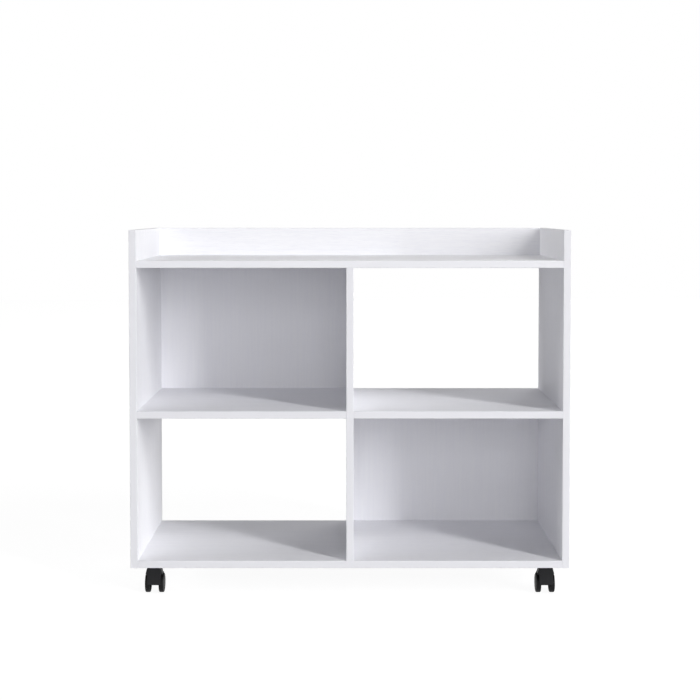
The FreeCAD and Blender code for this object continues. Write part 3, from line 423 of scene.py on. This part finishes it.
def turned(heights, radii, sides):
    """Turn a profile round the Z axis: height h and radius r give (r cos t, r sin t, h) at angle t.

    The profile starts and ends on the axis, where one point closes the grid.
    """
    turn = np.linspace(0, math.tau, sides, endpoint=False)
    rings = np.stack([
        np.outer(radii[1:-1], np.cos(turn)),
        np.outer(radii[1:-1], np.sin(turn)),
        np.outer(heights[1:-1], np.ones(sides)),
    ], axis=-1).reshape(-1, 3)
    points = np.vstack([(0, 0, heights[0]), rings, (0, 0, heights[-1])])
    ring = np.arange(len(rings)).reshape(-1, sides) + 1
    onward = np.roll(ring, -1, axis=1)
    quads = np.stack([ring[:-1], ring[1:], onward[1:], onward[:-1]], axis=-1).reshape(-1, 4)
    top = np.stack([np.zeros(sides, int), ring[0], onward[0]], axis=-1)
    bottom = np.stack([np.full(sides, len(points) - 1), onward[-1], ring[-1]], axis=-1)
    return points, (top, quads, bottom)


crown = np.linspace(0, 1.75, 6)
nail = turned(
    heights=np.concatenate([0.8 - 0.1 * crown ** 2, [0.36, 0.2, 0.06, 0, 0, -14, -16]]),
    radii=np.concatenate([crown, [1.92, 2.0, 1.94, 1.8, 0.7, 0.7, 0]]),
    sides=NAIL_SIDES)
print("a nail has", len(nail[0]), "points")

# %% [markdown]
# ## Two screws
#
# The rail's screws have a sunk flat head and those of the casters a round one, each with a pressed
# cross for the driver. A cross could be cut with a boolean, but it is enough to lower the points of
# the turned grid that lie in its arms. Heads have many rings and sides, so that the arms come out
# with clean walls.

# %% Turn two screws and press their crosses
SCREW_SIDES = 48


def with_cross(points, reach, half_width, wall, depth):
    """Press a cross into a head.

    An arm along X is as deep as depth * clip((half_width - |y|) / wall) * clip((reach - |x|) / wall),
    both clipped to 0..1. The arm along Y has x and y exchanged, and the deeper of the two counts.
    """
    x, y = np.abs(points[:, 0]), np.abs(points[:, 1])
    along_x = np.clip((half_width - y) / wall, 0, 1) * np.clip((reach - x) / wall, 0, 1)
    along_y = np.clip((half_width - x) / wall, 0, 1) * np.clip((reach - y) / wall, 0, 1)
    in_head = points[:, 2] > points[:, 2].max() - depth
    pressed = points.copy()
    pressed[:, 2] -= depth * np.maximum(along_x, along_y) * in_head
    return pressed


face = np.linspace(0, 3.75, 20)
points, faces = turned(
    heights=np.concatenate([0 * face, [-0.06, -0.2, -2.1, -37, -40]]),
    radii=np.concatenate([face, [3.9, 3.95, 2.0, 2.0, 0]]),
    sides=SCREW_SIDES)
rail_screw = with_cross(points, reach=2.5, half_width=0.75, wall=0.35, depth=1.6), faces

crown = np.linspace(0, 3.0, 18)
points, faces = turned(
    heights=np.concatenate([2.2 - 0.07 * crown ** 2, [1.2, 0.7, 0.25, 0, 0, -11, -14]]),
    radii=np.concatenate([crown, [3.36, 3.5, 3.46, 3.3, 1.75, 1.75, 0]]),
    sides=SCREW_SIDES)
plate_screw = with_cross(points, reach=2.1, half_width=0.65, wall=0.3, depth=1.2), faces
print("a rail screw has", len(rail_screw[0]), "points, a caster screw", len(plate_screw[0]))

# %% [markdown]
# ## Where the fasteners go
#
# Every place is read from the CAD pieces that the fasteners hold. The nails go round each back, half
# its lap in from the edge. The rail's screws lie at the height of the middle of the top board, which
# they go into, and four screws hold each caster plate. Each kind could be many objects, but it
# replaces one CAD piece, so its copies are worked out together and go into one mesh. A real fastener
# stops at any angle, so each copy is turned a little further than the one before.

# %% Nails round the backs
LAP = 7 * MM
NAILS_ACROSS = 5
NAILS_UP = 4
GOLDEN_ANGLE = math.pi * (3 - math.sqrt(5))
TO_REAR = ((-1, 0, 0), (0, 0, 1), (0, 1, 0))


def fasteners(name, shape, places, axes):
    """Set copies of a turned shape at places, each turned by the golden angle more than the last.

    A copy's point is place + turned x * axes[0] + turned y * axes[1] + height * axes[2].
    """
    points, faces = shape
    turn = np.arange(len(places)) * GOLDEN_ANGLE
    cos, sin = np.cos(turn)[:, None], np.sin(turn)[:, None]
    x = cos * points[:, 0] - sin * points[:, 1]
    y = sin * points[:, 0] + cos * points[:, 1]
    z = np.broadcast_to(points[:, 2], x.shape)
    spread = np.stack([x, y, z], axis=-1) * MM @ np.array(axes, float) + np.array(places)[:, None]
    first = np.arange(len(places))[:, None, None] * len(points)
    copies = []
    for kind in faces:
        copies += (kind[None] + first).reshape(-1, kind.shape[1]).tolist()
    mesh = bpy.data.meshes.new(name)
    mesh.from_pydata(spread.reshape(-1, 3).tolist(), [], copies)
    mesh.materials.append(plated_steel)
    piece = bpy.data.objects.new(name, mesh)
    bpy.context.scene.collection.objects.link(piece)
    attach(piece, "case")
    print(name, len(places), "copies,", len(copies), "faces")
    return piece


nail_spots = []
for sheet in ("upper_back_sheet", "lower_back_sheet"):
    low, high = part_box(sheet)
    x = np.linspace(low.x + LAP / 2, high.x - LAP / 2, NAILS_ACROSS)
    z = np.linspace(low.z + LAP / 2, high.z - LAP / 2, NAILS_UP)
    rim = [(a, c) for a in x for c in (z[0], z[-1])]
    rim += [(a, c) for c in z[1:-1] for a in (x[0], x[-1])]
    nail_spots += [(a, high.y, c) for a, c in rim]
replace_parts(fasteners("domed_nails", nail, nail_spots, TO_REAR), "back_sheet_nails")

# %% Screws in the rail
RAIL_SCREW_PITCH = 280 * MM

rail_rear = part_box("gallery_rail")[1].y
top_middle = sum(corner.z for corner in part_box("top_board")) / 2
rail_spots = [(x, rail_rear, top_middle) for x in (-RAIL_SCREW_PITCH, 0, RAIL_SCREW_PITCH)]
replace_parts(fasteners("cross_rail_screws", rail_screw, rail_spots, TO_REAR), "rail_screws")

# %% Screws in the caster plates
HALF_PITCH = 16 * MM
DOWNWARDS = ((1, 0, 0), (0, -1, 0), (0, 0, -1))

plate_spots = []
for corner in CORNERS:
    low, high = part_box(f"{corner}_caster_plate")
    x, y = (low.x + high.x) / 2, (low.y + high.y) / 2
    plate_spots += [(x + a, y + b, low.z)
                    for a in (-HALF_PITCH, HALF_PITCH) for b in (-HALF_PITCH, HALF_PITCH)]
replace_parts(fasteners("cross_caster_screws", plate_screw, plate_spots, DOWNWARDS), "caster_screws")

# %% [markdown]
# ## Room
#
# The bookcase stands in a white room. A room that is bright enough to look white would wash out the
# shading of white boards. So Light Path lets the room look white to the camera and in mirror-like
# surfaces, while it lights the bookcase only as much as a dim pale room does.

# %% White room
ROOM_LIGHT = 0.05

scene = bpy.context.scene
scene.view_settings.view_transform = "Standard"


def seen_directly(tree):
    """Give 1 for rays from the camera, in a mirror or through glass, else 0 for light on surfaces."""
    path = add(tree, "ShaderNodeLightPath").outputs
    either = add(tree, "ShaderNodeMath", {
        0: path["Is Camera Ray"], 1: path["Is Glossy Ray"],
    }, operation="MAXIMUM").outputs[0]
    return add(tree, "ShaderNodeMath", {
        0: either, 1: path["Is Transmission Ray"],
    }, operation="MAXIMUM").outputs[0]


room = bpy.data.worlds.new("white_room")
scene.world = room
room.use_nodes = True
tree = room.node_tree
tree.nodes.clear()
as_light = add(tree, "ShaderNodeBackground", {
    "Color": linear("#FFFFFF"), "Strength": ROOM_LIGHT,
}).outputs[0]
as_seen = add(tree, "ShaderNodeBackground", {
    "Color": linear("#FFFFFF"), "Strength": 1.0,
}).outputs[0]
both = add(tree, "ShaderNodeMixShader", {
    0: seen_directly(tree), 1: as_light, 2: as_seen,
}).outputs[0]
add(tree, "ShaderNodeOutputWorld", {"Surface": both})
print("room light", ROOM_LIGHT)

# %% [markdown]
# ## Lamps
#
# Five soft lamps do the rest. The key lamp stands in front, to the right and a little above. It is
# tall and narrow, so an upright board throws a crisp shadow to the left while the shadow under a
# level board is soft, as in the photograph. A front lamp reaches into the bays, a side lamp brightens
# the inner faces that look to the right, one on the left lights that side and the tray, and one
# behind lights the rear. They hang far away, so the near and the far end of a board are about equally
# bright. Angles are in degrees from the front and from the floor, sizes in metres.

# %% Five soft lamps
LAMP_DISTANCE = 16
LAMPS = {
    "key": {"azimuth": 42, "elevation": 22, "width": 2, "height": 14, "brightness": 0.71},
    "front": {"azimuth": 0, "elevation": 10, "width": 7, "height": 6, "brightness": 0.16},
    "side": {"azimuth": 65, "elevation": 12, "width": 7, "height": 6, "brightness": 0.14},
    "left": {"azimuth": -90, "elevation": 25, "width": 7, "height": 6, "brightness": 0.31},
    "rear": {"azimuth": 150, "elevation": 15, "width": 7, "height": 6, "brightness": 0.27},
}
middle = np.array((cad_low + cad_high) / 2)
for name, lamp in LAMPS.items():
    azimuth, elevation = math.radians(lamp["azimuth"]), math.radians(lamp["elevation"])
    towards = np.array([
        math.sin(azimuth) * math.cos(elevation),
        -math.cos(azimuth) * math.cos(elevation),
        math.sin(elevation),
    ])
    data = bpy.data.lights.new(f"{name}_lamp", "AREA")
    data.shape = "RECTANGLE"
    data.size, data.size_y = lamp["width"], lamp["height"]
    # A white card that faces the lamp turns out as bright as this asks
    data.energy = lamp["brightness"] * math.pi ** 2 * LAMP_DISTANCE ** 2
    lamp_object = bpy.data.objects.new(f"{name}_lamp", data)
    lamp_object.location = middle + LAMP_DISTANCE * towards
    lamp_object.rotation_euler = (math.pi / 2 - elevation, 0, azimuth)
    scene.collection.objects.link(lamp_object)
    print(f"{name} lamp, {data.energy:.0f} W")

# %% [markdown]
# ## Floor
#
# The floor is plain pale paint. Seen directly it glows as much as it needs to be white under these
# lamps, also where they are a little weaker, and adds a share of its own shading, so the bookcase's
# shadow stays. To other surfaces it is only paint.

# %% White floor with a soft shadow
FLOOR_SHADING = 0.2
LIGHT_SPREAD = 0.3
HALF_FLOOR = 10

level = ROOM_LIGHT + sum(
    lamp["brightness"] * math.sin(math.radians(lamp["elevation"])) for lamp in LAMPS.values())
paint, tree, _ = new_finish("pale_floor_paint")
shading = add(tree, "ShaderNodeBsdfDiffuse", {"Color": (FLOOR_SHADING,) * 3 + (1,)}).outputs[0]
glow = add(tree, "ShaderNodeEmission", {
    "Color": linear("#FFFFFF"), "Strength": 1 - FLOOR_SHADING * (1 - LIGHT_SPREAD) * level,
}).outputs[0]
as_seen = add(tree, "ShaderNodeAddShader", {0: shading, 1: glow}).outputs[0]
as_paint = add(tree, "ShaderNodeBsdfDiffuse", {"Color": linear("#CCCCCC")}).outputs[0]
mixed = add(tree, "ShaderNodeMixShader", {
    0: seen_directly(tree), 1: as_paint, 2: as_seen,
}).outputs[0]
add(tree, "ShaderNodeOutputMaterial", {"Surface": mixed})

corners = HALF_FLOOR * np.array([(-1, -1, 0), (1, -1, 0), (1, 1, 0), (-1, 1, 0)], float)
floor_mesh = bpy.data.meshes.new("floor")
floor_mesh.from_pydata(corners.tolist(), [], [(0, 1, 2, 3)])
floor_mesh.materials.append(paint)
floor = bpy.data.objects.new("floor", floor_mesh)
scene.collection.objects.link(floor)
floor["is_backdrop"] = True
print(f"light on the floor {level:.2f}")

# %% [markdown]
# ## Camera
#
# The photograph looks straight at the front from a little above the top board, from about three
# metres. Its upright lines stay upright, which a lens shift does. Here part of that comes from a
# slight tilt, so that other views of the bookcase still lie inside the frame.

# %% Camera of the photograph
LENS_MM = 76.38
LENS_SHIFT = -0.11
CAMERA_PLACE = (0.0002, -3.2200, 0.7945)
CAMERA_TILT = math.radians(2.403)

camera_data = bpy.data.cameras.new("front_camera")
camera_data.lens = LENS_MM
camera_data.shift_y = LENS_SHIFT
camera = bpy.data.objects.new("front_camera", camera_data)
camera.location = CAMERA_PLACE
camera.rotation_euler = (math.pi / 2 - CAMERA_TILT, 0, 0)
scene.collection.objects.link(camera)
scene.camera = camera
print("camera at", [round(c, 3) for c in camera.location])

# %% [markdown]
# ## Sizes
#
# The box of the dressed bookcase is measured, like that of the CAD model.

# %% Measure the dressed bookcase
low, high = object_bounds()
